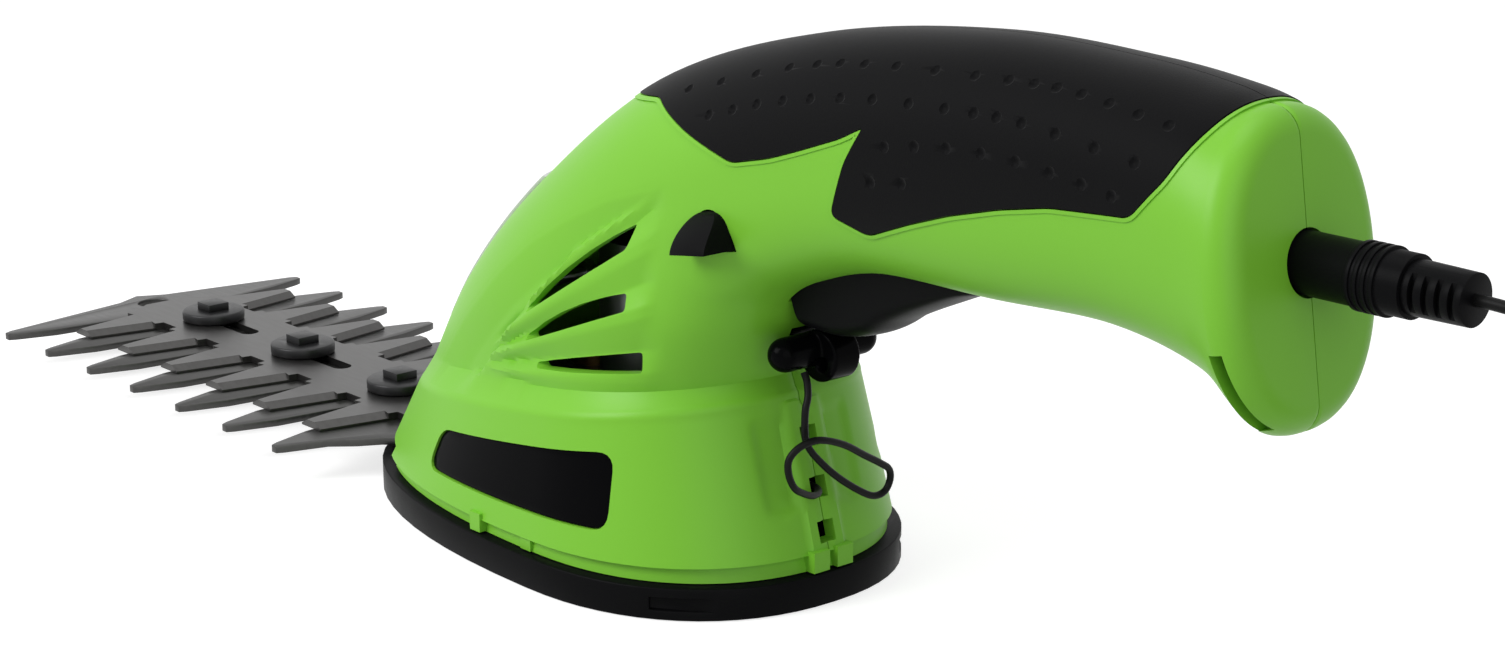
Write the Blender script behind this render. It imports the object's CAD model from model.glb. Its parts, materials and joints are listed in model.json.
# %% [markdown]
# Cordless shears with a shrub blade
#
# The solids of the part arrive as a frame of named nodes. This lesson dresses them for the camera:
# smooth mouldings in place of faceted ones, cords at their real length, and a finish on every surface.
# Each step says what the piece is and why it is made the way it is. Sizes are in millimetres and are
# turned into metres where a mesh is made. The camera and the set are placed in metres.

import json
import math

import bmesh
import bpy
from mathutils import Matrix, Vector
from mathutils.bvhtree import BVHTree


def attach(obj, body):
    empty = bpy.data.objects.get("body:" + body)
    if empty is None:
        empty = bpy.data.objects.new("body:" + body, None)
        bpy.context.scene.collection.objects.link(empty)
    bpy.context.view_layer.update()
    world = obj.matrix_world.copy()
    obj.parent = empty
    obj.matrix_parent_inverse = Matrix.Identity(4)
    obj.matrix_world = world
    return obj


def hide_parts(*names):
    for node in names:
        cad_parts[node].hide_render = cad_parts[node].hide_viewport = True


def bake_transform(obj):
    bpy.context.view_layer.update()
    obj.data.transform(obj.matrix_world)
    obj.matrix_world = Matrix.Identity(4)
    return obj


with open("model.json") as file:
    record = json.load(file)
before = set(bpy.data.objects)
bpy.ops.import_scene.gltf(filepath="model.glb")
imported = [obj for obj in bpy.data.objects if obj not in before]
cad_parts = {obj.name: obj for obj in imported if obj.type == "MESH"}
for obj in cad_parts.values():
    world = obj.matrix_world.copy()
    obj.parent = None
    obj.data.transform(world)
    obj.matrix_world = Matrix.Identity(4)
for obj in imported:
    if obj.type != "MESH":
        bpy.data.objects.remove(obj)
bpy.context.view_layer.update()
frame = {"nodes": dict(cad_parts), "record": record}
nodes = frame["nodes"]
scene = bpy.context.scene
MM = 0.001
# How far back the handle reaches, how tall the body is, and half of the skirt's width
REACH, TALL, HALF_W = 173.0, 114.0, 38.5
# Cutters run this far past a face, and this far out to the side
PAST, FAR = 1, 60

# %% [markdown]
# The camera comes first, so that every test render is seen the way the photograph was taken: from
# behind and to the left, a little above the handle, through a short telephoto lens.

# %% Camera
CAMERA_PLACE = (-0.433, 0.3482, 0.193)
CAMERA_LOOK = Vector((0.7214, -0.6405, -0.2634))
CAMERA_LENS, CAMERA_SENSOR = 67.8, 36

bpy.ops.object.camera_add(location=CAMERA_PLACE)
camera = bpy.context.object
camera.rotation_euler = CAMERA_LOOK.to_track_quat("-Z", "Y").to_euler()
camera.name = "photo_camera"
camera.data.lens = CAMERA_LENS
camera.data.sensor_width = CAMERA_SENSOR
camera.data.clip_start = 0.01
scene.camera = camera
scene.view_settings.view_transform = "Standard"
print("camera at", tuple(round(v, 3) for v in camera.location))

# %% [markdown]
# A few helpers keep the steps short. `pick` makes one object the only selected one, which most
# operators need. `finish` gives a piece its material, sends it to the body that carries it and hides the
# solids that it stands for.

# %% Helpers
MERGE_GAP, FLAT_DEGREES = 0.002, 1


def pick(obj):
    bpy.ops.object.select_all(action="DESELECT")
    obj.select_set(True)
    bpy.context.view_layer.objects.active = obj
    return obj


def apply(obj, kind, **settings):
    """Adds one modifier and applies it at once."""
    pick(obj)
    modifier = obj.modifiers.new(kind.lower(), kind)
    for key, value in settings.items():
        setattr(modifier, key, value)
    bpy.ops.object.modifier_apply(modifier=modifier.name)
    return obj


def cut(obj, *cutters, operation="DIFFERENCE"):
    """Takes closed solids out of a closed solid, or adds them to it."""
    for cutter in cutters:
        apply(obj, "BOOLEAN", object=cutter, operation=operation, solver="MANIFOLD")
        bpy.data.objects.remove(cutter)
    return obj


def solid(name, points, faces):
    """A mesh object from points in millimetres, with its faces turned outwards."""
    mesh = bpy.data.meshes.new(name)
    mesh.from_pydata([Vector(p) * MM for p in points], [], faces)
    turned = bmesh.new()
    turned.from_mesh(mesh)
    bmesh.ops.recalc_face_normals(turned, faces=turned.faces)
    turned.to_mesh(mesh)
    turned.free()
    obj = bpy.data.objects.new(name, mesh)
    scene.collection.objects.link(obj)
    return obj


def rings_solid(name, rings):
    """A closed skin over rings that all have the same number of points."""
    count = len(rings[0])
    faces = [tuple(range(count)), tuple((len(rings) - 1) * count + k for k in range(count))]
    for i in range(len(rings) - 1):
        for k in range(count):
            n = (k + 1) % count
            faces.append((i * count + k, i * count + n, (i + 1) * count + n, (i + 1) * count + k))
    return solid(name, [p for ring in rings for p in ring], faces)


def prism(name, outline, low, high):
    """An outline in the X-Z plane drawn out along Y."""
    return rings_solid(name, [[(x, y, z) for x, z in outline] for y in (low, high)])


def block(name, low, high):
    (x0, y0, z0), (x1, y1, z1) = low, high
    return prism(name, [(x0, z0), (x1, z0), (x1, z1), (x0, z1)], y0, y1)


def turns_of(sides):
    return [2 * math.pi * k / sides for k in range(sides)]


def lathe(name, profile, z, sides):
    """Pairs of x and radius, turned about a line along X at that height."""
    turns = turns_of(sides)
    return rings_solid(name, [[(x, r * math.cos(a), z + r * math.sin(a)) for a in turns] for x, r in profile])


def disc(name, centre, radius, low, high, sides=96):
    """A round prism along Y."""
    x, z = centre
    outline = [(x + radius * math.cos(a), z + radius * math.sin(a)) for a in turns_of(sides)]
    return prism(name, outline, low, high)


def mirror_copy(obj, name):
    """The same piece on the other side of the seam, with a mesh of its own."""
    copy = obj.copy()
    copy.data = obj.data.copy()
    copy.name = name
    copy.data.transform(Matrix.Scale(-1, 4, (0, 1, 0)))
    copy.data.flip_normals()
    scene.collection.objects.link(copy)
    return copy


def node_copy(node, name, flatten):
    """A free copy of a node's solid with doubled points merged, and its flat faces joined if asked."""
    obj = nodes[node].copy()
    obj.data = nodes[node].data.copy()
    obj.name = name
    obj.parent = None
    for tag in list(obj.keys()):
        del obj[tag]
    scene.collection.objects.link(obj)
    pick(obj)
    bpy.ops.object.mode_set(mode="EDIT")
    bpy.ops.mesh.select_all(action="SELECT")
    bpy.ops.mesh.remove_doubles(threshold=MERGE_GAP * MM)
    if flatten:
        bpy.ops.mesh.dissolve_limited(angle_limit=math.radians(FLAT_DEGREES))
    bpy.ops.object.mode_set(mode="OBJECT")
    return obj


def soften(obj, width, segments=2, degrees=50):
    """Rounds the edges that are sharper than an angle, which catches the light as real edges do."""
    settings = {"limit_method": "ANGLE", "angle_limit": math.radians(degrees)}
    return apply(obj, "BEVEL", width=width * MM, segments=segments, **settings)


def finish(obj, body, slot, *stands_for, sharp=None):
    """Dresses a piece and hands it over. Only edges sharper than that many degrees stay sharp."""
    if sharp is not None:
        pick(obj)
        bpy.ops.object.shade_smooth_by_angle(angle=math.radians(sharp))
    obj.data.materials.clear()
    obj.data.materials.append(FINISHES[slot])
    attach(obj, body)
    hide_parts(*stands_for)
    print(obj.name, "rides", body)
    return obj


def curve_at(points, i, t):
    """A point between points i and i + 1 of a smooth curve through all of them."""
    b, c = points[i], points[i + 1]
    a = points[i - 1] if i > 0 else [2 * p - q for p, q in zip(b, c)]
    d = points[i + 2] if i + 2 < len(points) else [2 * q - p for p, q in zip(b, c)]
    return tuple(
        0.5 * (2 * q + (r - p) * t + (2 * p - 5 * q + 4 * r - s) * t**2 + (3 * q - 3 * r + s - p) * t**3)
        for p, q, r, s in zip(a, b, c, d)
    )


def smooth(points, steps):
    """That many places on each stretch of a smooth curve through the points, and the last point."""
    last = len(points) - 1
    return [curve_at(points, i, k / steps) for i in range(last) for k in range(steps)] + [tuple(points[last])]


print("helpers ready")

# %% [markdown]
# Materials are made before the pieces. A plastic is a plain colour with a fine moulded grain: a noise
# texture on Object coordinates moves the roughness a little and feeds a Bump node. The grain is one node
# group, so every material shares it and only sets its scale, its stretch and its range of roughness.

# %% Shared node groups
GRAIN_DETAIL, ROUGH_SPREAD, BUMP_STRENGTH = 4, 0.12, 0.5


def fill(node, values):
    """Sets the named inputs of a shader node."""
    for label, value in values.items():
        node.inputs[label].default_value = value


def wire(tree, *runs):
    """Joins an output of one node to an input of another, run by run."""
    for source, out, target, into in runs:
        tree.links.new(source.outputs[out], target.inputs[into])


def group(name, inputs, outputs):
    """An empty node group with named sockets."""
    tree = bpy.data.node_groups.new(name, "ShaderNodeTree")
    for label, kind in inputs:
        tree.interface.new_socket(label, in_out="INPUT", socket_type=kind)
    for label, kind in outputs:
        tree.interface.new_socket(label, in_out="OUTPUT", socket_type=kind)
    return tree, tree.nodes.new("NodeGroupInput"), tree.nodes.new("NodeGroupOutput")


def make_grain():
    """Even noise on Object coordinates, stretched along an axis where a finish is brushed."""
    number, vector = "NodeSocketFloat", "NodeSocketVector"
    tree, given, made = group(
        "grain",
        [("Scale", number), ("Stretch", vector), ("Low", number), ("High", number)],
        [("Height", number), ("Value", number)],
    )
    place = tree.nodes.new("ShaderNodeTexCoord")
    stretch = tree.nodes.new("ShaderNodeVectorMath")
    stretch.operation = "MULTIPLY"
    noise = tree.nodes.new("ShaderNodeTexNoise")
    fill(noise, {"Detail": GRAIN_DETAIL})
    spread = tree.nodes.new("ShaderNodeMapRange")
    wire(
        tree,
        (place, "Object", stretch, 0),
        (given, "Stretch", stretch, 1),
        (stretch, 0, noise, "Vector"),
        (given, "Scale", noise, "Scale"),
        (noise, "Fac", spread, "Value"),
        (given, "Low", spread, "To Min"),
        (given, "High", spread, "To Max"),
        (noise, "Fac", made, "Height"),
        (spread, "Result", made, "Value"),
    )
    return tree


GRAIN = make_grain()
print("grain of", len(GRAIN.nodes), "shader nodes")


def finish_material(name, color, rough, grain, depth, metallic=0.0, shine=0.5, stretch=(1, 1, 1), tint=0.9):
    """A surface with grain: colour, roughness and height all follow one noise."""
    material = bpy.data.materials.new(name)
    material.use_nodes = True
    tree = material.node_tree
    shader = tree.nodes["Principled BSDF"]
    fill(shader, {"Metallic": metallic, "Specular IOR Level": shine})
    noise = tree.nodes.new("ShaderNodeGroup")
    noise.node_tree = GRAIN
    fill(noise, {"Scale": grain, "Stretch": stretch})
    fill(noise, {"Low": rough - ROUGH_SPREAD / 2, "High": rough + ROUGH_SPREAD / 2})
    shade = tree.nodes.new("ShaderNodeMix")
    shade.data_type = "RGBA"
    fill(shade, {"A": (*[c * tint for c in color], 1), "B": (*color, 1)})
    bump = tree.nodes.new("ShaderNodeBump")
    fill(bump, {"Strength": BUMP_STRENGTH, "Distance": depth * MM})
    wire(
        tree,
        (noise, "Value", shader, "Roughness"),
        (noise, "Height", shade, "Factor"),
        (shade, "Result", shader, "Base Color"),
        (noise, "Height", bump, "Height"),
        (bump, "Normal", shader, "Normal"),
    )
    return material


# %% [markdown]
# One table names each finish. The lime shells are a satin plastic, the grip is a dull soft overmould,
# the blades are dark steel brushed lengthwise, and the parts inside get what such parts are made of. A
# row holds the name, the colour, the roughness, the fineness of the grain, its depth in millimetres and what
# else sets that finish apart.

# %% Materials
STEEL = {"metallic": 0.9, "stretch": (0.15, 1, 1), "tint": 0.7}
BARE_METAL = {"metallic": 1.0}
GRIP_SHEEN = 0.08
FINISH_ROWS = [
    ("green_plastic", (0.20, 0.55, 0.036), 0.4, 2600, 0.02, {"shine": 0.26, "tint": 0.97}),
    ("soft_grip", (0.003, 0.003, 0.0035), 0.5, 3200, 0.05, {"shine": 0.03, "tint": 0.8}),
    ("black_plastic", (0.004, 0.004, 0.0045), 0.4, 2600, 0.02, {"shine": 0.035}),
    ("gloss_black", (0.002, 0.002, 0.0025), 0.2, 1800, 0.004, {"shine": 0.02}),
    ("silver_trim", (0.70, 0.70, 0.71), 0.35, 2000, 0.01, {}),
    ("comb_steel", (0.078, 0.077, 0.075), 0.36, 900, 0.02, STEEL),
    ("blade_steel", (0.092, 0.090, 0.088), 0.33, 900, 0.02, STEEL),
    ("fastener_steel", (0.025, 0.025, 0.026), 0.4, 1500, 0.02, {"metallic": 0.7}),
    ("zinc_steel", (0.55, 0.56, 0.58), 0.32, 1500, 0.01, BARE_METAL),
    ("motor_steel", (0.42, 0.43, 0.44), 0.35, 1200, 0.01, BARE_METAL),
    ("gear_nylon", (0.72, 0.70, 0.62), 0.5, 1500, 0.01, {}),
    ("frame_plastic", (0.02, 0.02, 0.021), 0.5, 1800, 0.02, {}),
    ("bronze", (0.45, 0.26, 0.10), 0.38, 1500, 0.01, BARE_METAL),
    ("brass", (0.62, 0.45, 0.16), 0.3, 1500, 0.01, BARE_METAL),
    ("cell_wrap", (0.03, 0.13, 0.32), 0.3, 900, 0.01, {}),
    ("board_green", (0.01, 0.10, 0.04), 0.35, 900, 0.01, {}),
    ("lead_red", (0.45, 0.015, 0.012), 0.4, 1500, 0.01, {}),
    ("cord_black", (0.005, 0.005, 0.005), 0.45, 2600, 0.02, {"shine": 0.1}),
]
FINISHES = {row[0]: finish_material(*row[:-1], **row[-1]) for row in FINISH_ROWS}
fill(FINISHES["soft_grip"].node_tree.nodes["Principled BSDF"], {"Sheen Weight": GRIP_SHEEN})
print("made", len(FINISHES), "finishes")

# %% [markdown]
# The charger lead is one unbroken cord, 2 mm thick and about a metre and a half long. It leaves the
# plug straight, falls under its own weight, and the length that the photograph doesn't show lies in a
# neat coil behind the shears, on its way to the wall adapter. The route repeats the part's own points.
# The coil is a formula: it spirals in and out again and climbs a layer each time it turns back.

# %% Charger lead
CORD_D = 2.0
PLUG_Z = 0.757 * TALL
PLUG_END_X = -201.54
FLOOR_Z = 2.5
LEAD_ROUTE = [
    (0, 0, 1), (-4, 0, 1), (-11.5, -1, 0.989), (-18.5, -2, 0.961), (-23.5, -3, 0.913),
    (-27.5, -4, 0.841), (-30.5, -5, 0.746), (-32.5, -6, 0.638), (-34.5, -7, 0.519),
    (-36.5, -8, 0.4), (-38.5, -9, 0.28), (-41.5, -10, 0.173), (-45.5, -11, 0.09),
    (-50.5, -12, 0.035), (-56.5, -12, 0.008), (-61.5, -12, 0.001), (-65.5, -12, 0),
]  # fmt: skip
LEAD_POINTS = [(PLUG_END_X + x, y, FLOOR_Z + share * (PLUG_Z - FLOOR_Z)) for x, y, share in LEAD_ROUTE]
COIL_PITCH = CORD_D + 0.5
COIL_MEAN_R = 12.6
COIL_LAYERS = 4
COIL_TURNS = 17.25
COIL_RINGS = 24
CLIMB_TURNS = 0.25
LAYER_TURNS = COIL_TURNS / COIL_LAYERS
COIL_R = COIL_MEAN_R + LAYER_TURNS * COIL_PITCH / 2
COIL_X, COIL_Y, COIL_Z = LEAD_POINTS[-1][0], LEAD_POINTS[-1][1] - COIL_R, LEAD_POINTS[-1][2]
ADAPTER_H, ADAPTER_AWAY, ADAPTER_HALF = 24, 26, 8
LEAD_STEPS, TAIL_STEPS, CORD_ROUND = 3, 4, 3


def coil_at(turn):
    """A place on the coil after that many turns."""
    share = turn / LAYER_TURNS
    whole = math.floor(share)
    zigzag = share - whole if whole % 2 == 0 else 1 - share + whole
    near = (share - round(share)) * LAYER_TURNS
    climbing = 1 <= round(share) <= COIL_LAYERS - 1 and abs(near) <= CLIMB_TURNS
    layer = round(share) - 0.5 + near / (2 * CLIMB_TURNS) if climbing else min(whole, COIL_LAYERS - 1)
    r = COIL_R - zigzag * LAYER_TURNS * COIL_PITCH
    a = math.radians(90 + 360 * turn)
    return (COIL_X + r * math.cos(a), COIL_Y + r * math.sin(a), COIL_Z + layer * COIL_PITCH)


def cord_curve(name, points, diameter):
    """A round cord along one open spline, closed at both ends."""
    curve = bpy.data.curves.new(name, "CURVE")
    curve.dimensions = "3D"
    curve.bevel_depth = diameter / 2 * MM
    curve.bevel_resolution = CORD_ROUND
    curve.use_fill_caps = True
    spline = curve.splines.new("POLY")
    spline.points.add(len(points) - 1)
    for place, p in zip(spline.points, points):
        place.co = (*(c * MM for c in p), 1)
    obj = bpy.data.objects.new(name, curve)
    scene.collection.objects.link(obj)
    return obj


def run_length(points):
    """Metres along a run of points."""
    return sum((Vector(a) - Vector(b)).length for a, b in zip(points, points[1:])) * MM


coil = [coil_at(k / COIL_RINGS) for k in range(int(COIL_RINGS * COIL_TURNS) + 1)]
tail_x, tail_y, tail_z = coil[-1]
tail_end = COIL_Y - ADAPTER_AWAY + ADAPTER_HALF
TAIL_POINTS = [
    coil[-1],
    (tail_x, tail_y - CORD_D, tail_z),
    (tail_x, (tail_y + tail_end) / 2, (tail_z + ADAPTER_H / 2) / 2),
    (tail_x, tail_end + CORD_D, ADAPTER_H / 2),
    (tail_x, tail_end, ADAPTER_H / 2),
]
lead_path = smooth(LEAD_POINTS, LEAD_STEPS) + coil[1:] + smooth(TAIL_POINTS, TAIL_STEPS)[1:]
lead = cord_curve("charger_lead", lead_path, CORD_D)
finish(lead, "charger", "cord_black", "charge_cord", "cord_coil", "cord_tail")
print("lead of", round(run_length(lead_path), 3), "m")

# %% [markdown]
# The safety key hangs on a thin tether, so that it can't be lost. It is seen from end to end: it drops
# from the key's eye, makes a loop and goes into a hole in the rear seam. It is a mesh tube, because a
# mesh can bend between the housing and the key when the key is pulled.

# %% Tether
TETHER_D, TETHER_STEPS = 1.4, 4
KEY_X, KEY_Z = -60.55, 0.436 * TALL
HOLE_X, HOLE_Z = -63.5, 0.191 * TALL
TETHER_DROP = [(-1.45, 6, -3.7), (-2.35, 6.1, -5.3), (-3.4, 6.8, -7.8), (-3.95, 8, -10.7)]
TETHER_LOOP = [
    (-1, 7.6, 11.4), (-1.5, 4, 6.7), (-2, -0.5, 2.7), (-2.4, -5.5, -0.7), (-2.6, -8.6, -2.1),
    (-2.9, -11, -1.6), (-3.1, -12.15, 0.45), (-3.4, -11.6, 2.7), (-3.7, -9.3, 4.4), (-4, -4.5, 7.2),
    (-4.5, 1.5, 10.7), (-4.5, 7.5, 12.8), (-3.5, 11, 12.2), (-2.5, 13.2, 10), (-2.5, 13.5, 7.2),
    (-2.5, 12, 4), (-1.5, 8.5, 1.8), (-0.4, 5.4, 0.5), (1.2, 2.5, 0), (3.6, 0.5, -0.2), (6.5, 0, -0.2),
]  # fmt: skip
TETHER_POINTS = [(KEY_X + x, y, KEY_Z + z) for x, y, z in TETHER_DROP]
TETHER_POINTS += [(HOLE_X + x, y, HOLE_Z + z) for x, y, z in TETHER_LOOP]
tether_path = smooth(TETHER_POINTS, TETHER_STEPS)
tether = cord_curve("key_tether", tether_path, TETHER_D)
pick(tether)
bpy.ops.object.convert(target="MESH")
tether.data.materials.append(FINISHES["cord_black"])
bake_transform(tether)
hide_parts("tether")
print("tether of", round(run_length(tether_path), 3), "m")

# %% [markdown]
# The housing is a loft: one closed section after another, from the skirt up over the shoulder and back
# along the handle. A section is a flattened oval between a front point and a rear point. The same rows
# as in the part are used, with many more points, so that the moulding is smooth. A row holds the front
# point's x and z, the rear point's x and z, half of the width, the share of the way from rear to front at
# which the section is widest, and how square the rear half of the oval is.

# %% Loft rows
SKIRT_Z, LEDGE_REAR, LEDGE_FRONT = 6.5, 38.0, 22.5
LEDGE_STEP, FRONT_SLOPE, END_ROUND, WALL = 3.0, 0.7, 5.0, 2.4
LEDGE_TURN, SHOULDER_SHARE = 50, 0.16
LIP_INSET, LIP_TOP, SKIRT_FOOT = 1.5, 9.5, 9.8
SKIN_STEPS, SKIN_TURNS, END_TURNS, SKIN_SIDES = 26, 6, 8, 170
POWER = 2.25
BOTTOM_ROW = [63.5, SKIRT_Z, -63.5, SKIRT_Z, HALF_W, 0.35, POWER]
LEDGE_ROW = [52.5, LEDGE_FRONT, -54.5, LEDGE_REAR, 34.5, 0.35, POWER]
STATION_SHARES = [
    [0.195, 0.441, -0.329, 0.465, 0.785, 0.40, 2.5],
    [0.062, 0.640, -0.355, 0.530, 0.706, 0.43, 2.7],
    [-0.131, 0.845, -0.405, 0.572, 0.612, 0.47, 2.9],
    [-0.3585, 0.953, -0.497, 0.607, 0.530, 0.50, 2.9],
    [-0.601, 1.000, -0.647, 0.609, 0.482, 0.50, 2.8],
    [-0.790, 0.997, -0.803, 0.616, 0.472, 0.50, 2.6],
    [-0.895, 0.982, -0.923, 0.580, 0.492, 0.50, 2.4],
    [-0.938, 0.968, -0.984, 0.513, 0.514, 0.50, 2.25],
]


def mix(a, b, t):
    return [p + (q - p) * t for p, q in zip(a, b)]


def skirt_row(z, inset):
    """The skirt's section at that height."""
    row = mix(BOTTOM_ROW, LEDGE_ROW, (z - SKIRT_Z) / (LEDGE_REAR - SKIRT_Z))
    return [row[0] - inset, row[1], row[2] + inset, row[3], row[4] - inset, row[5], row[6]]


def ledge_row(degrees):
    """The rounded ledge on top of the skirt, from its edge at 0 to its inner end at 90."""
    a = math.radians(degrees)
    inset, rise = LEDGE_STEP * (1 - math.cos(a)), LEDGE_STEP * math.sin(a)
    row = LEDGE_ROW
    front = [row[0] - FRONT_SLOPE * rise, row[1] + rise]
    return [*front, row[2] + inset, row[3] + rise, row[4] - inset, row[5], row[6]]


def grown(row, grow):
    """A row pushed out all round."""
    run = Vector((row[0] - row[2], row[1] - row[3])).normalized() * grow
    return [row[0] + run.x, row[1] + run.y, row[2] - run.x, row[3] - run.y, row[4] + grow, row[5], row[6]]


def end_row(row, degrees, radius):
    """The last section carried back and drawn in, which rounds the rear end."""
    a = math.radians(degrees)
    back = radius * math.sin(a)
    row = grown(row, -radius * (1 - math.cos(a)))
    run = Vector((row[0] - row[2], row[1] - row[3])).normalized()
    x, z = -run.y * back, run.x * back
    return [row[0] + x, row[1] + z, row[2] + x, row[3] + z, *row[4:]]


def station(shares):
    return [s * size for s, size in zip(shares, (REACH, TALL, REACH, TALL, HALF_W, 1, 1))]


STATIONS = [ledge_row(90)] + [station(s) for s in STATION_SHARES]


def body_rows(steps, turns, grow=0.0):
    """Sections from the skirt's lip to the rear end. A plain slope joins the ledge to the wall above it."""
    rows = [skirt_row(SKIRT_Z, LIP_INSET), skirt_row(LIP_TOP, LIP_INSET), skirt_row(SKIRT_FOOT, 0)]
    rows += [skirt_row(SKIRT_FOOT + (LEDGE_REAR - SKIRT_FOOT) * k / steps, 0) for k in range(1, steps)]
    rows += [ledge_row(LEDGE_TURN * k / turns) for k in range(turns + 1)]
    rows += smooth(STATIONS, steps)[round(SHOULDER_SHARE * steps) :]
    return [grown(list(r), grow) for r in rows]


def with_end(rows, turns, radius):
    return rows + [end_row(rows[-1], 90 * k / turns, radius) for k in range(1, turns + 1)]


def section_point(row, degrees):
    """A point of a section, from the front point at 0 to the rear point at 180."""
    c, s = math.cos(math.radians(degrees)), math.sin(math.radians(degrees))
    power = POWER if c >= 0 else row[6]
    reach = abs(c) ** (2 / power)
    along = row[5] + (1 - row[5]) * reach if c >= 0 else row[5] - row[5] * reach
    side = row[4] * abs(s) ** (2 / power)
    return (row[2] + along * (row[0] - row[2]), side, row[3] + along * (row[1] - row[3]))


def whole_ring(row, sides):
    half = [section_point(row, 180 * k / sides) for k in range(sides + 1)]
    return half + [(x, -y, z) for x, y, z in half[-2:0:-1]]


def loft(name, rows, sides):
    return rings_solid(name, [whole_ring(r, sides) for r in rows])


skin_rows = with_end(body_rows(SKIN_STEPS, SKIN_TURNS), END_TURNS, END_ROUND)
print("loft of", len(skin_rows), "sections")

# %% [markdown]
# Openings are drawn as outlines seen from the side. `grow` pushes an outline out by a little, which is
# how a gap, a raised lip or a recess follows the same edge. `rounded` takes the points off corners.


# %% Side outlines
def side(shares):
    """Places seen from the side, from shares of the reach and the height."""
    return [(x * REACH, z * TALL) for x, z in shares]


def area(outline):
    return sum(a[0] * b[1] - b[0] * a[1] for a, b in zip(outline, outline[1:] + outline[:1])) / 2


def grow(outline, out):
    """The outline moved out by that much, with mitred corners."""
    points = [Vector(p) for p in (outline if area(outline) > 0 else outline[::-1])]
    moved = []
    for i, p in enumerate(points):
        into, onward = (p - points[i - 1]).normalized(), (points[(i + 1) % len(points)] - p).normalized()
        normal = Vector((into.y + onward.y, -into.x - onward.x))
        normal = normal.normalized() if normal.length > 1e-6 else Vector((into.y, -into.x))
        stretch = max(normal.dot(Vector((into.y, -into.x))), 0.5)
        moved.append(tuple(p + normal * out / stretch))
    return moved


def rounded(outline, radius, steps=5):
    """Every corner replaced by a short curve."""
    points = [Vector(p) for p in outline]
    made = []
    for i, p in enumerate(points):
        before, after = points[i - 1] - p, points[(i + 1) % len(points)] - p
        start = p + before * min(radius / before.length, 0.45)
        end = p + after * min(radius / after.length, 0.45)
        for k in range(steps + 1):
            t = k / steps
            made.append(tuple(start * (1 - t) ** 2 + p * (2 * t * (1 - t)) + end * t**2))
    return made


GRIP_SHARES = [
    (-0.090, 0.815), (-0.193, 0.835), (-0.274, 0.798), (-0.345, 0.769), (-0.397, 0.787), (-0.438, 0.808),
    (-0.492, 0.838), (-0.524, 0.863), (-0.501, 0.799), (-0.484, 0.717), (-0.531, 0.697), (-0.588, 0.730),
    (-0.641, 0.757), (-0.706, 0.783), (-0.769, 0.802), (-0.868, 0.814), (-0.902, 0.873), (-0.924, 0.940),
    (-0.935, 0.985), (-0.935, 1.100), (-0.090, 1.100),
]  # fmt: skip
GRIP_OUTLINE = rounded(side(GRIP_SHARES), 1.6)
PLATE_OUTLINE = rounded(side([(0.096, 0.194), (-0.215, 0.261), (-0.219, 0.133), (0.117, 0.119)]), 3.5)
VENT_SHARES = [
    [(-0.046, 0.455), (-0.052, 0.449), (-0.207, 0.597), (-0.212, 0.639)],
    [(-0.050, 0.409), (-0.056, 0.402), (-0.216, 0.498), (-0.210, 0.525)],
    [(-0.072, 0.369), (-0.078, 0.361), (-0.232, 0.395), (-0.230, 0.430)],
]
print("grip outline of", len(GRIP_OUTLINE), "points")

# %% [markdown]
# The green skin has soft relief that no straight cut can give. A wide groove slopes in along the front
# of the vents and ends at a ridge. Beside each vent the skin rises to a rib and dips towards the next
# vent, like a louvre. At the rear seam lie a raised strip and a shallow channel. Each is a small push
# in or out of the skin, worked out from where a point lies.

# %% Relief of the skin
GROOVE_FRONT = side([
    (0.176, 0.258), (0.109, 0.375), (0.028, 0.490), (-0.031, 0.559), (-0.093, 0.614), (-0.162, 0.665),
    (-0.232, 0.698),
])  # fmt: skip
GROOVE_RIDGE = side([
    (0.048, 0.313), (0.003, 0.391), (-0.042, 0.470), (-0.080, 0.523), (-0.119, 0.581), (-0.157, 0.620),
    (-0.205, 0.665),
])  # fmt: skip
GROOVE = GROOVE_FRONT + GROOVE_RIDGE[::-1]
GROOVE_SLOPE, GROOVE_MOST, GROOVE_RISE = 0.25, 7.5, 1.1
FAN_X, FAN_Z = 14.0, 36.0
# Degrees up from level, and how far the skin is pushed out there
FAN_PUSH = [
    (3, -0.4), (7.5, 0.5), (9.4, 0.5), (13.8, -1.1), (20, 0.5), (22, 0.5), (25.6, -1.1), (30.6, 0.5),
    (32.8, 0.5), (36.2, -1.0), (38.5, 0),
]  # fmt: skip
FAN_REAR_X, FAN_FADE, FAN_START, FAN_GROW = -44.5, 5.0, 6, 14
CARVED_X, CARVED_Z, REAR_X = (-46, 34), (28, 84), -40
SEAM_STRIP_W, SEAM_STRIP_OUT, STRIP_EDGE = 4.2, 0.55, 0.5
CHANNEL_W, CHANNEL_DEPTH, CHANNEL_LOW, CHANNEL_HIGH = 8.5, 0.7, 17.0, 36.0
CHANNEL_BOW, CHANNEL_FOOT, CHANNEL_SIDE, CHANNEL_HEAD = 0.35, 1.6, 2.5, 2.0
SEAM_GAP, SEAM_CREASE = 0.09, 0.35
LOOK_FROM = 100


def ease(t):
    """A soft step from 0 to 1."""
    t = min(max(t, 0.0), 1.0)
    return t * t * (3 - 2 * t)


def line_distance(points, x, z):
    """How far a point lies from an open run of points."""
    p, nearest = Vector((x, z)), 1e9
    for a, b in zip(points, points[1:]):
        a, b = Vector(a), Vector(b)
        t = min(max((p - a).dot(b - a) / (b - a).length_squared, 0), 1)
        nearest = min(nearest, (p - a - (b - a) * t).length)
    return nearest


def inside(outline, x, z):
    """Whether a point lies in a closed outline."""
    found = False
    for a, b in zip(outline, outline[1:] + outline[:1]):
        if (a[1] > z) != (b[1] > z) and x < a[0] + (z - a[1]) * (b[0] - a[0]) / (b[1] - a[1]):
            found = not found
    return found


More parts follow.
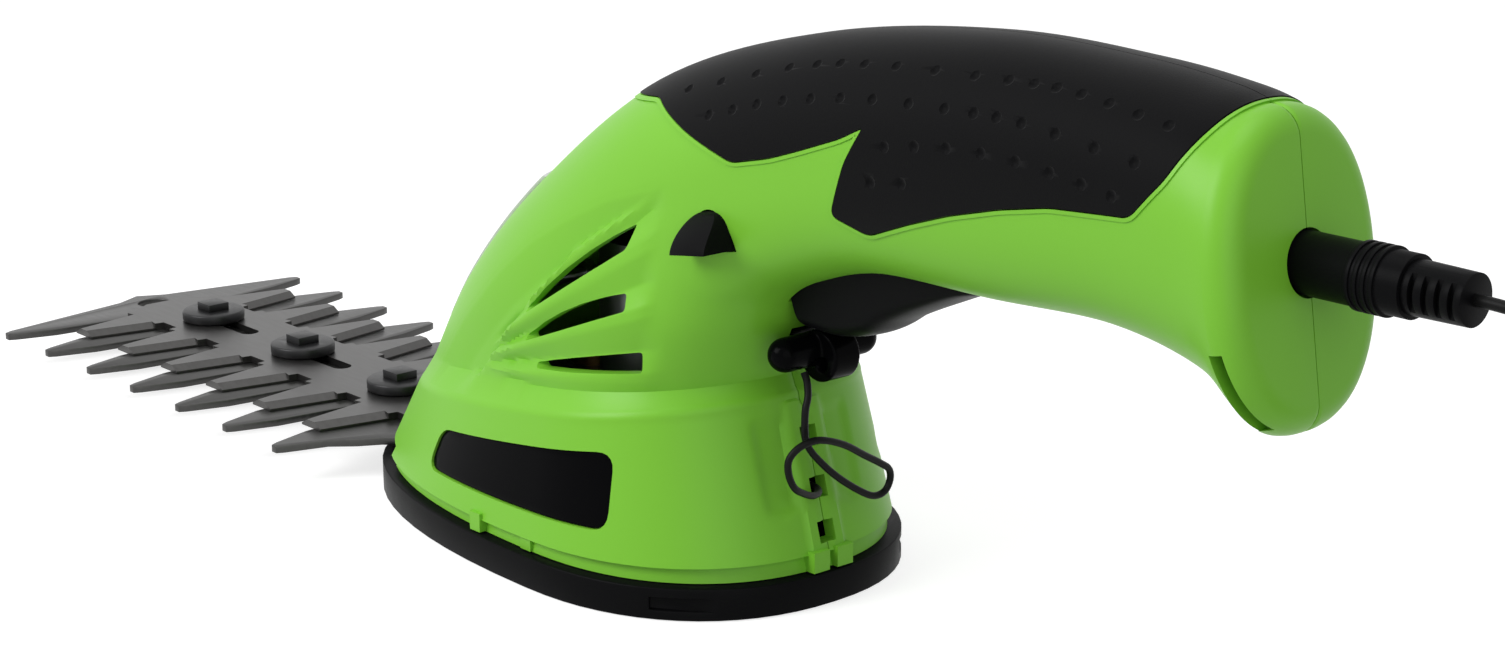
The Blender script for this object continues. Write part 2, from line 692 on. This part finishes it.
def groove_depth(x, z):
    """Sinks evenly from the front edge to the ridge, and comes up again past it."""
    beyond = 0.0 if inside(GROOVE, x, z) else line_distance(GROOVE + GROOVE[:1], x, z)
    if beyond > GROOVE_RISE:
        return 0.0
    into = min(line_distance(GROOVE_FRONT, x, z), GROOVE_MOST)
    return GROOVE_SLOPE * into * ease(1 - beyond / GROOVE_RISE)


def louvre_push(x, z):
    """Ribs and dips that fan out from one point in front of the vents."""
    turn = math.degrees(math.atan2(z - FAN_Z, FAN_X - x))
    far = math.hypot(z - FAN_Z, FAN_X - x)
    for (a, low), (b, high) in zip(FAN_PUSH, FAN_PUSH[1:]):
        if a <= turn < b:
            push = low + (high - low) * (turn - a) / (b - a)
            return push * ease((far - FAN_START) / FAN_GROW) * ease((x - FAN_REAR_X) / FAN_FADE)
    return 0.0


def relief(x, y, z):
    """Millimetres that a point of the skin is pushed in."""
    depth = 0.0
    if CARVED_X[0] < x < CARVED_X[1] and CARVED_Z[0] < z < CARVED_Z[1]:
        depth += groove_depth(x, z) - louvre_push(x, z)
    if x < REAR_X and z < LEDGE_REAR:
        depth -= SEAM_STRIP_OUT * ease(SEAM_STRIP_W + STRIP_EDGE - y)
        bow = CHANNEL_BOW * abs(y - SEAM_STRIP_W - CHANNEL_W / 2)
        bottom = ease((z - CHANNEL_LOW - bow) / CHANNEL_FOOT)
        walls = ease(y - SEAM_STRIP_W - STRIP_EDGE) * ease((SEAM_STRIP_W + CHANNEL_W - y) / CHANNEL_SIDE)
        depth += CHANNEL_DEPTH * bottom * walls * ease((CHANNEL_HIGH - z) / CHANNEL_HEAD)
    return depth


def half_skin(name, rows, sides):
    """The closed left half, with its relief and a creased seam."""
    rings = []
    for row in rows:
        middle = Vector(((row[0] + row[2]) / 2, 0, (row[1] + row[3]) / 2))
        ring = []
        for k in range(sides + 1):
            p = Vector(section_point(row, 180 * k / sides))
            away = (p - middle).normalized()
            push = -relief(*p) - (SEAM_CREASE if k in (0, sides) else 0)
            p += away * push
            ring.append((p.x, p.y + SEAM_GAP, p.z))
        rings.append(ring)
    return rings_solid(name, rings)


left = half_skin("left_housing", skin_rows, SKIN_SIDES)
skin_tree = BVHTree.FromObject(left, bpy.context.evaluated_depsgraph_get())


def look_in(tree, x, z):
    """Where a look from the left, along Y, meets a surface, and which way that surface faces."""
    hit, normal, *_ = tree.ray_cast(Vector((x * MM, LOOK_FROM * MM, z * MM)), Vector((0, -1, 0)))
    return hit, normal


def surface_y(x, z):
    """How far out the left skin lies at that place, in millimetres."""
    hit, _ = look_in(skin_tree, x, z)
    return hit.y / MM if hit else 0.0


print("skin of", len(left.data.polygons), "faces; the side lies at", round(surface_y(-20, 60), 1), "mm")

# %% [markdown]
# The halves are hollowed with a smaller loft, as the real moulding is. Then each opening is cut: the
# recess for the grip, which has a low bead round it, the vents, the trigger slot, the key's opening, the
# holes in the seam, the blade's mouth, the lanyard slot and the hole for the plug. Small tabs are added
# on the skirt's lip. Closed solids and the Manifold solver keep this quick and clean.

# %% Cuts that both halves share
GRIP_DEPTH, GRIP_PROUD, GRIP_GAP = 1.3, 0.5, 0.25
BEAD_W, BEAD_OUT, BEAD_SUNK = 0.9, 0.35, 1.0
HANDLE_FIRST, HANDLE_STEPS, HANDLE_TURNS = 2, 12, 4
VENT_OUTER, VENT_INNER, VENT_SLOPE, VENT_BULGES = -6.0, 7.0, 0.12, (1.3, 1.4, 0.3)
VENT_ROUND, VENT_BOW_SHARES = 0.8, (0.2, 0.4, 0.6, 0.8)
HOLLOW_STEPS, HOLLOW_TURNS, HOLLOW_SIDES, HOLLOW_INSET, HOLLOW_LOW = 4, 3, 40, 0.8, 2
# Where each tab lies along the lip, how far out it reaches and how high
LIP_TABS = [(-1.5, 38.3, 10.4), (-17.0, 37.6, 9.3), (-62.5, 5.0, 10.6)]
TAB_HALF_W, TAB_DEEP, LIP_LOW = 1.6, 4.0, 6.6
PIVOT = (-0.624 * REACH, 0.686 * TALL)
TRIGGER_R, TRIGGER_W, MOVE_GAP, SWING_GAP = 0.2935 * REACH, 16.0, 0.4, 0.8
SLOT_LOW, SLOT_HIGH = (-0.672 * REACH, -2, 0.40 * TALL), (0, 20, 0.65 * TALL)
KEY_WAY_BACK, KEY_WAY_IN, KEY_WAY_HALF_W, KEY_WAY_HALF_H = 8, 22, 4.4, 3.4
SEAM_HOLE_SHARES, SEAM_HOLE_X, SEAM_HOLE_HALF = (0.119, 0.191, 0.274), (-70, -46), 2
MOUTH_LOW, MOUTH_HIGH = (36, -PAST, 5), (90, 26, 10.8)
PLUG_WAY, PLUG_WAY_SIDES = [(-190, 5.5), (-150, 5.5)], 48
LANYARD_X, LANYARD_Z, LANYARD_TURN = -0.980 * REACH, 0.592 * TALL, 12
LANYARD_HALF_W, LANYARD_HALF_LONG, LANYARD_FROM = 1.3, 6.8, 6.0


def handle_loft(name, out, sides=72):
    """The handle's skin moved in or out, past both ends of the grip."""
    rows = [grown(list(r), out) for r in smooth(STATIONS[HANDLE_FIRST:], HANDLE_STEPS)]
    return loft(name, with_end(rows, HANDLE_TURNS, END_ROUND), sides)


def vent_cutter(shares, bulge):
    """A slot whose front end slopes in and whose upper edge is bowed."""
    corners = [Vector(c) for c in side(shares)]
    front = corners[0].lerp(corners[1], 0.5)
    back = corners[2].lerp(corners[3], 0.5)
    bow = Vector((front.y - back.y, back.x - front.x)).normalized() * -bulge
    face = surface_y(*front)
    rings = []
    for depth in (VENT_OUTER, VENT_INNER):
        shift = (back - front) * VENT_SLOPE * depth / VENT_INNER
        tip = corners[0] + shift
        upper = [corners[3].lerp(tip, t) + bow * 4 * t * (1 - t) for t in VENT_BOW_SHARES]
        ring = rounded([tip, corners[1] + shift, *corners[2:], *upper], VENT_ROUND, 3)
        rings.append([(x, face - depth, z) for x, z in ring])
    return rings_solid("vent", rings)


def cavity():
    """The hollow inside both halves."""
    rows = body_rows(HOLLOW_STEPS, HOLLOW_TURNS, -WALL)
    rows[0] = grown(BOTTOM_ROW, -WALL - HOLLOW_INSET)
    rows[0][1] = rows[0][3] = SKIRT_Z - HOLLOW_LOW
    return loft("cavity", with_end(rows, HOLLOW_TURNS, END_ROUND - WALL), HOLLOW_SIDES)


def grip_bead():
    """A low bead round the edge of the grip."""
    bead = handle_loft("bead", BEAD_OUT)
    cut(bead, prism("outer", grow(GRIP_OUTLINE, BEAD_W), SEAM_GAP, FAR), operation="INTERSECT")
    cut(bead, prism("inner", grow(GRIP_OUTLINE, GRIP_GAP), -PAST, FAR), handle_loft("under", -BEAD_SUNK))
    return bead


cut(left, grip_bead(), operation="UNION")
recess = prism("recess", grow(GRIP_OUTLINE, GRIP_GAP), -PAST, FAR)
cut(recess, handle_loft("floor", -GRIP_DEPTH))
cut(left, recess, cavity())
cut(left, *[vent_cutter(v, b) for v, b in zip(VENT_SHARES, VENT_BULGES)])
slot_disc = disc("slot", PIVOT, TRIGGER_R + SWING_GAP, -PAST, TRIGGER_W / 2 + MOVE_GAP)
cut(slot_disc, block("reach", SLOT_LOW, SLOT_HIGH), operation="INTERSECT")
cut(left, slot_disc)
key_way_low = (KEY_X - KEY_WAY_BACK, -PAST, KEY_Z - KEY_WAY_HALF_H)
key_way_high = (KEY_X + KEY_WAY_IN, KEY_WAY_HALF_W, KEY_Z + KEY_WAY_HALF_H)
cut(left, block("key_way", key_way_low, key_way_high))
for share in SEAM_HOLE_SHARES:
    hole_low = (SEAM_HOLE_X[0], -PAST, share * TALL - SEAM_HOLE_HALF)
    hole_high = (SEAM_HOLE_X[1], SEAM_HOLE_HALF, share * TALL + SEAM_HOLE_HALF)
    cut(left, block("seam_hole", hole_low, hole_high))
cut(left, block("mouth", MOUTH_LOW, MOUTH_HIGH))
for x, y, z in LIP_TABS:
    tab = block("tab", (x - TAB_HALF_W, y - TAB_DEEP, LIP_LOW), (x + TAB_HALF_W, y, z))
    cut(left, tab, operation="UNION")
lanyard_low = (-LANYARD_HALF_W, LANYARD_FROM, -LANYARD_HALF_LONG)
lanyard = block("lanyard", lanyard_low, (LANYARD_HALF_W, FAR, LANYARD_HALF_LONG))
lanyard_turn = Matrix.Rotation(math.radians(LANYARD_TURN), 4, "Y")
lanyard.data.transform(Matrix.Translation((LANYARD_X * MM, 0, LANYARD_Z * MM)) @ lanyard_turn)
cut(left, lanyard)
cut(left, lathe("plug_way", PLUG_WAY, PLUG_Z, PLUG_WAY_SIDES))
print("left half has", len(left.data.polygons), "faces")

# %% [markdown]
# The right half is a mirrored copy, made before the cuts that only one side has: the recess of the side
# plate and the hole of the lock button on the left, and the screw wells on the right.

# %% Left and right halves
PLATE_DEPTH, PLATE_BACK = 1.2, 0.4
PLATE_GAP, PLATE_FROM = 0.25, 5
SKIRT_CUT_Z, SKIRT_CUT_STEP, SKIRT_CUT_ROWS, SKIRT_CUT_SIDES = 6, 3, 11, 96
BUTTON_X, BUTTON_Z, BUTTON_HALF, BUTTON_RISE = -0.323 * REACH, 0.622 * TALL, 4.8, 7.2
BUTTON_GAP, BUTTON_FROM = 0.35, 2
BUTTON_TILT = Matrix.Rotation(math.radians(-9), 2)
HALF_TURN = [math.pi * k / 24 for k in range(25)]
SCREW_SHARES = [
    (-0.270, 0.195), (0.243, 0.212), (-0.217, 0.770), (-0.410, 0.858), (-0.800, 0.680), (0.133, 0.407),
]  # fmt: skip
WELL_R, WELL_SIDES, SCREW_SEAT, SHANK_R, SHANK_SIDES, SHANK_FROM = 3.2, 32, 9.0, 1.7, 24, 30


def skirt_loft(name, out):
    """The skirt's skin moved in or out."""
    heights = [SKIRT_CUT_Z + SKIRT_CUT_STEP * k for k in range(SKIRT_CUT_ROWS)]
    return loft(name, [grown(skirt_row(z, 0), out) for z in heights], SKIRT_CUT_SIDES)


def button_place(across, y, up):
    """A place on the lock button, which is tilted a little."""
    p = BUTTON_TILT @ Vector((across, up))
    return BUTTON_X + p.x, y, BUTTON_Z + p.y


def button_way():
    """The lock button's hole: a half moon, flat side down, with room round the button."""
    r, rise = BUTTON_HALF + BUTTON_GAP, BUTTON_RISE + BUTTON_GAP
    arc = [(r * math.cos(a), rise * math.sin(a)) for a in HALF_TURN]
    outline = [*arc, (-r, -BUTTON_GAP), (r, -BUTTON_GAP)]
    rings = [[button_place(across, y, up) for across, up in outline] for y in (BUTTON_FROM, FAR)]
    return rings_solid("button_way", rings)


right = mirror_copy(left, "right_housing")
plate_recess = prism("plate_recess", grow(PLATE_OUTLINE, PLATE_GAP), PLATE_FROM, FAR)
cut(plate_recess, skirt_loft("plate_floor", -PLATE_DEPTH))
cut(left, plate_recess, button_way())
for place in side(SCREW_SHARES):
    cut(right, disc("well", place, WELL_R, -FAR, -SCREW_SEAT, WELL_SIDES))
    cut(right, disc("shank", place, SHANK_R, -SHANK_FROM, PAST, SHANK_SIDES))
for half, node in ((left, "left_shell"), (right, "right_shell")):
    finish(half, "housing", "green_plastic", node, sharp=30)

# %% [markdown]
# The grip is a soft overmould that lies in its recess and stands a little proud. It is the handle's
# loft, grown by half a millimetre, kept inside the outline and cut from below. Rows of small round
# dimples follow its length. Their places are found by looking along Y at the skin.

# %% Soft grip
GRIP_SIDES, GRIP_SEAT = 110, 0.1
DIMPLE_R, DIMPLE_DEPTH = 1.15, 0.45
BALL_R = (DIMPLE_R**2 + DIMPLE_DEPTH**2) / (2 * DIMPLE_DEPTH)
# How many dimples are in a row, and the run that they follow
DIMPLE_ROWS = [
    (17, [
        (-0.242, 0.858), (-0.396, 0.923), (-0.509, 0.948), (-0.671, 0.960), (-0.770, 0.960), (-0.886, 0.940),
    ]),
    (15, [
        (-0.298, 0.832), (-0.395, 0.873), (-0.508, 0.900), (-0.640, 0.910), (-0.731, 0.909), (-0.866, 0.888),
    ]),
    (8, [(-0.555, 0.839), (-0.625, 0.854), (-0.703, 0.858), (-0.779, 0.850), (-0.846, 0.838)]),
    (2, [(-0.539, 0.782), (-0.580, 0.790)]),
]  # fmt: skip


def along(points, share):
    """A place that share of the way along a smooth run of points."""
    if len(points) < 3:
        return Vector(points[0]).lerp(Vector(points[-1]), share)
    i = min(int(share * (len(points) - 1)), len(points) - 2)
    return Vector(curve_at(points, i, share * (len(points) - 1) - i))


left_grip = handle_loft("left_soft_grip", GRIP_PROUD, GRIP_SIDES)
cut(left_grip, prism("keep", GRIP_OUTLINE, SEAM_GAP, FAR), operation="INTERSECT")
cut(left_grip, handle_loft("hollow", -GRIP_DEPTH + GRIP_SEAT))
grip_tree = BVHTree.FromObject(left_grip, bpy.context.evaluated_depsgraph_get())
for count, run in DIMPLE_ROWS:
    for k in range(count):
        hit, normal = look_in(grip_tree, *along(side(run), k / (count - 1)))
        if hit is None:
            continue
        middle = hit + normal * (BALL_R - DIMPLE_DEPTH) * MM
        bpy.ops.mesh.primitive_uv_sphere_add(segments=16, ring_count=10, radius=BALL_R * MM, location=middle)
        bpy.ops.object.transform_apply()
        cut(left_grip, bpy.context.object)
right_grip = mirror_copy(left_grip, "right_soft_grip")
for half, node in ((left_grip, "left_grip"), (right_grip, "right_grip")):
    finish(half, "housing", "soft_grip", node, sharp=35)

# %% [markdown]
# The front slope carries a bright trim strip that wraps over the seam. It follows the loft's front, from
# one side to the other, one millimetre thick.

# %% Front trim
TRIM_FIRST, TRIM_LAST, TRIM_TURN, TRIM_T, TRIM_SEAT = 0.5, 2.0, 22.5, 1.0, 0.1
TRIM_ROWS, TRIM_SIDES, TRIM_EDGE = 24, 12, 0.35


def trim_line(row, out):
    """One line of the strip, from its right edge to its left."""
    steps = range(-TRIM_SIDES, TRIM_SIDES + 1)
    points = [section_point(grown(row, out), TRIM_TURN * abs(k) / TRIM_SIDES) for k in steps]
    return [(x, math.copysign(y, k), z) for k, (x, y, z) in zip(steps, points)]


trim_rings = []
for k in range(TRIM_ROWS + 1):
    place = TRIM_FIRST + (TRIM_LAST - TRIM_FIRST) * k / TRIM_ROWS
    row = list(curve_at(STATIONS, int(place), place - int(place)))
    trim_rings.append(trim_line(row, TRIM_T) + trim_line(row, TRIM_SEAT)[::-1])
trim = soften(rings_solid("front_strip", trim_rings), TRIM_EDGE)
finish(trim, "housing", "silver_trim", "front_trim", sharp=40)

# %% [markdown]
# The plate on the left of the skirt is a bare piece of gloss black plastic, set back a little in its
# recess, with rounded corners.

# %% Side plate
PLATE_SEAT, PLATE_EDGE = 0.1, 0.25
plate = skirt_loft("side_plate", -PLATE_BACK)
cut(plate, prism("keep", PLATE_OUTLINE, PLATE_FROM, FAR), operation="INTERSECT")
cut(plate, skirt_loft("behind", -PLATE_DEPTH + PLATE_SEAT))
soften(plate, PLATE_EDGE)
finish(plate, "housing", "gloss_black", "name_plate", sharp=35)

# %% [markdown]
# Plain pieces keep the part's own shape. `dressed` takes a copy of a node and softens its sharp edges.
# The lead can be described once the pieces at its far end exist.

# %% Pieces with softened edges
# The node, the piece's name, its body, its finish and how wide its edges are rounded
DRESSED = [
    ("lower_comb", "fixed_comb", "housing", "comb_steel", 0.3),
    ("guide_bolts", "blade_bolts", "housing", "fastener_steel", 0.4),
    ("guide_washers", "blade_washers", "housing", "fastener_steel", 0.4),
    ("guide_nuts", "blade_nuts", "housing", "fastener_steel", 0.3),
    ("base_plate", "base_tray", "housing", "black_plastic", 0.5),
    ("charge_plug", "plug_body", "charger", "black_plastic", 0.2),
    ("plug_relief", "plug_strain_relief", "charger", "black_plastic", 0.3),
]


def dressed(node, name, body, slot, width, segments=2):
    obj = soften(node_copy(node, name, flatten=True), width, segments, 30)
    return finish(obj, body, slot, node, sharp=35)


for row in DRESSED:
    dressed(*row)
tie = dressed("coil_tie", "cord_tie", "charger", "black_plastic", 0.2)
adapter = dressed("wall_adapter", "mains_adapter", "charger", "gloss_black", 0.8, 3)
pins = dressed("adapter_pins", "mains_pins", "charger", "brass", 0.3)

# %% [markdown]
# The moving blade is cut from one sheet: a spine with six blunt teeth a side and three long slots for the
# guide bolts. Each tooth has a ground bevel along both flanks, which a wedge takes off: it starts partway
# down the edge and comes out on top a little way in.

# %% Cutting blade
TOOTH_PITCH, COMB_TIP_X, BLADE_TEETH, BLADE_LAG = 20.0, 186.0, 6, 14.8
BLADE_Z, BLADE_T, BLADE_END_Y, BLADE_ROOT_Y = 8.9, 1.6, 29.0, 11.02
TOOTH_ROOT_HALF, TOOTH_END_HALF, BEVEL_IN, BEVEL_DROP = 7.0, 3.6, 2.2, 1.15
BLADE_TAIL_X, BLADE_FRONT_X, BLADE_TAIL_Y = -6.0, 182.0, 11.0
GUIDE_COUNT, GUIDE_FIRST_X, GUIDE_PITCH, GUIDE_LONG, GUIDE_R = 3, 155.5, 40.0, 30.0, 2.3
YOKE_REAR_X, YOKE_FRONT_X, YOKE_HALF_Y = 7.3, 15.1, 8
WEDGE_OUT, WEDGE_IN = 1.5, 0.2
blade_top = BLADE_Z + BLADE_T
tooth_places = [COMB_TIP_X - k * TOOTH_PITCH - BLADE_LAG for k in range(BLADE_TEETH)]


def flat_solid(name, outline, low, high):
    """An outline seen from above, drawn up."""
    return rings_solid(name, [[(x, y, z) for x, y in outline] for z in (low, high)])


def flank_wedge(x, sx, sy):
    """The ground-off edge of one flank of one tooth."""
    root = Vector((x + sx * TOOTH_ROOT_HALF, sy * BLADE_ROOT_Y))
    end = Vector((x + sx * TOOTH_END_HALF, sy * BLADE_END_Y))
    run = (end - root).normalized()
    inward = Vector((-run.y, run.x))
    inward *= -sx * (1 if inward.x > 0 else -1)
    slope = BEVEL_DROP / BEVEL_IN
    edge = (-WEDGE_OUT, -BEVEL_DROP - WEDGE_OUT * slope)
    corners = [edge, (BEVEL_IN + WEDGE_IN, WEDGE_IN * slope), (-WEDGE_OUT, BLADE_T)]
    rings = []
    for p in (root + run * BEVEL_IN, end + run):
        rings.append([(*(p + inward * across), blade_top + up) for across, up in corners])
    return rings_solid("wedge", rings)


def guide_slot(x):
    """A long slot with round ends, about that place."""
    outline = []
    for turn in range(-90, 270, 10):
        reach_x = (GUIDE_LONG / 2 - GUIDE_R) * (1 if turn < 90 else -1)
        a = math.radians(turn)
        outline.append((x + reach_x + GUIDE_R * math.cos(a), GUIDE_R * math.sin(a)))
    return flat_solid("guide", outline, BLADE_Z - PAST, blade_top + PAST)


near_side = [(BLADE_TAIL_X, BLADE_TAIL_Y), (tooth_places[-1] - TOOTH_PITCH / 2, BLADE_TAIL_Y)]
for x in reversed(tooth_places):
    near_side += [(x - TOOTH_ROOT_HALF, BLADE_ROOT_Y), (x - TOOTH_END_HALF, BLADE_END_Y)]
    near_side += [(x + TOOTH_END_HALF, BLADE_END_Y), (x + TOOTH_ROOT_HALF, BLADE_ROOT_Y)]
near_side.append((BLADE_FRONT_X, BLADE_ROOT_Y / 2))
far_side = [(x, -y) for x, y in reversed(near_side)]
blade = flat_solid("cutting_blade", near_side + far_side, BLADE_Z, blade_top)
cut(blade, *[flank_wedge(x, sx, sy) for x in tooth_places for sx in (-1, 1) for sy in (-1, 1)])
cut(blade, *[guide_slot(GUIDE_FIRST_X - k * GUIDE_PITCH) for k in range(GUIDE_COUNT)])
yoke_low = (YOKE_REAR_X, -YOKE_HALF_Y, BLADE_Z - PAST)
yoke_high = (YOKE_FRONT_X, YOKE_HALF_Y, blade_top + PAST)
cut(blade, block("yoke", yoke_low, yoke_high))
finish(blade, "moving_blade", "blade_steel", "upper_blade", sharp=15)

# %% [markdown]
# The trigger is drawn as sections across its width: upright sides and a round underside for the finger,
# deeper towards the front. Its front end is trimmed to an arc about the pivot, so that it clears the
# housing when it swings.

# %% Trigger
TRIGGER_LOW = [
    (-0.668, 0.620), (-0.600, 0.598), (-0.545, 0.564), (-0.490, 0.525), (-0.455, 0.493), (-0.410, 0.474),
    (-0.365, 0.474), (-0.325, 0.480),
]  # fmt: skip
TRIGGER_TOP = [(-0.668, 0.640), (-0.440, 0.640), (-0.390, 0.598), (-0.325, 0.583)]
TRIGGER_STEPS, TRIGGER_ROUND, TRIGGER_ROUND_MOST, TRIGGER_ROUND_POWER = 6, 0.3, 3.6, 0.8


def height_at(points, x):
    """The height of a run of points at that x."""
    for (a, low), (b, high) in zip(points, points[1:]):
        if a <= x <= b:
            return low + (high - low) * (x - a) / (b - a)
    return points[-1][1]


trigger_rings = []
for x, low_z in smooth(side(TRIGGER_LOW), TRIGGER_STEPS):
    high_z = height_at(side(TRIGGER_TOP), x)
    drop = min(TRIGGER_ROUND * (SLOT_HIGH[2] - low_z), TRIGGER_ROUND_MOST)
    under = []
    for a in HALF_TURN:
        rise = drop * (1 - math.sin(a) ** TRIGGER_ROUND_POWER)
        under.append((x, TRIGGER_W / 2 * math.cos(a), low_z + rise))
    trigger_rings.append([(x, TRIGGER_W / 2, high_z), *under, (x, -TRIGGER_W / 2, high_z)])
trigger = rings_solid("finger_trigger", trigger_rings)
cut(trigger, disc("swing", PIVOT, TRIGGER_R, -TRIGGER_W, TRIGGER_W), operation="INTERSECT")
finish(trigger, "trigger_lever", "black_plastic", "trigger", sharp=40)

# %% [markdown]
# The lock button is a half moon with its flat side down. It swells from the skin at its top to its full
# height at the flat side, where the thumb presses. It is built row by row from that flat side up.

# %% Lock button
BUTTON_ROWS, BUTTON_SWEEP, BUTTON_POWER, BUTTON_SWELL = 16, 88, 2.8, 1.5
BUTTON_FACE, BUTTON_PROUD, BUTTON_DEEP, BUTTON_EDGE = 29.3, 0.4, 8, 0.9
button_top = surface_y(BUTTON_X, BUTTON_Z + BUTTON_RISE) + BUTTON_PROUD
button_back = button_top - BUTTON_DEEP
button_rings = []
for k in range(BUTTON_ROWS + 1):
    up = math.sin(math.radians(BUTTON_SWEEP * k / BUTTON_ROWS))
    half = BUTTON_HALF * (1 - up**BUTTON_POWER) ** (1 / BUTTON_POWER)
    face = button_top + (BUTTON_FACE - button_top) * (1 - up**BUTTON_SWELL)
    corners = [(-half, button_back), (half, button_back), (half, face), (-half, face)]
    button_rings.append([button_place(across, y, up * BUTTON_RISE) for across, y in corners])
button = soften(rings_solid("lock_off_button", button_rings), BUTTON_EDGE, 4)
finish(button, "button", "black_plastic", "lock_button", sharp=45)

# %% [markdown]
# The safety key is a small moulded toggle with full, rounded lobes. The solids of the key are fused with
# a voxel Remesh and smoothed, which gives the soft joins that a moulding has.

# %% Safety key
KEY_VOXEL, KEY_SMOOTH, KEY_PASSES = 0.25, 0.5, 10
key = node_copy("safety_key", "key_toggle", flatten=False)
apply(key, "REMESH", mode="VOXEL", voxel_size=KEY_VOXEL * MM)
apply(key, "SMOOTH", factor=KEY_SMOOTH, iterations=KEY_PASSES)
finish(key, "key", "gloss_black", "safety_key", sharp=60)

# %% [markdown]
# Everything else is mostly hidden inside the housing and keeps the part's own solids. Each still gets
# the finish that its slot names, so that it looks right through a vent or when the object is opened.

# %% Finishes on the solids that stay
slots = {s["node"]: s["material_slot"] for s in frame["record"]["subparts"]}
kept = [n for n, o in nodes.items() if not o.hide_render]
for name in kept:
    data = nodes[name].data
    data.materials.clear()
    data.materials.append(FINISHES[slots[name]])
print("kept", len(kept), "solids")

# %% [markdown]
# The set is a white table under a white sky. Both are bright for the camera and for reflections alone,
# so that the picture stays white while the lamps shape the object, and the table still darkens a little
# where the shears stand on it. A large soft lamp on the left gives the form its light side, one above
# lights the tops, and a weak one behind the camera opens the shade on the rear.

# %% Floor, lamps and sky
TABLE_SIZE, TABLE_Z, TABLE_GREY, TABLE_WHITE = 8, -0.0002, 0.5, 0.75
SKY_WHITE, SKY_LIGHT = 1.0, 0.3
LAMP_AIM = Vector((-0.03, 0, 0.06))
# A lamp's name, place, size and power
LAMPS = [
    ("key_lamp", (0.35, 1.0, 0.8), 0.7, 11.5),
    ("top_lamp", (-0.1, 0.0, 1.3), 0.8, 4),
    ("rear_lamp", (-1.0, 0.5, 0.45), 0.9, 2.4),
]


def white_for_eyes(tree, shader, strength, seen, felt):
    """Sets a strength that camera, reflected and transmitted rays see, and another for the rest."""
    rays = tree.nodes.new("ShaderNodeLightPath")
    eyes = (rays, "Is Camera Ray")
    for ray in ("Is Glossy Ray", "Is Transmission Ray"):
        either = tree.nodes.new("ShaderNodeMath")
        either.operation = "MAXIMUM"
        wire(tree, (*eyes, either, 0), (rays, ray, either, 1))
        eyes = (either, 0)
    level = tree.nodes.new("ShaderNodeMix")
    fill(level, {"A": felt, "B": seen})
    wire(tree, (*eyes, level, "Factor"), (level, "Result", shader, strength))


bpy.ops.mesh.primitive_plane_add(size=TABLE_SIZE, location=(0, 0, TABLE_Z))
floor = bpy.context.object
floor.name = "white_table"
floor_paint = bpy.data.materials.new("white_table")
floor_paint.use_nodes = True
table = floor_paint.node_tree.nodes["Principled BSDF"]
fill(table, {"Base Color": (TABLE_GREY, TABLE_GREY, TABLE_GREY, 1), "Emission Color": (1, 1, 1, 1)})
fill(table, {"Roughness": 1.0, "Specular IOR Level": 0.0})
white_for_eyes(floor_paint.node_tree, table, "Emission Strength", TABLE_WHITE, 0.0)
floor.data.materials.append(floor_paint)

for name, place, size, power in LAMPS:
    bpy.ops.object.light_add(type="AREA", location=place)
    light = bpy.context.object
    light.name = name
    light.data.size = size
    light.data.energy = power
    light.rotation_euler = (LAMP_AIM - Vector(place)).to_track_quat("-Z", "Y").to_euler()

scene.world = scene.world or bpy.data.worlds.new("sky")
scene.world.use_nodes = True
sky = scene.world.node_tree
fill(sky.nodes["Background"], {"Color": (1, 1, 1, 1)})
white_for_eyes(sky, sky.nodes["Background"], "Strength", SKY_WHITE, SKY_LIGHT)
print("set ready")
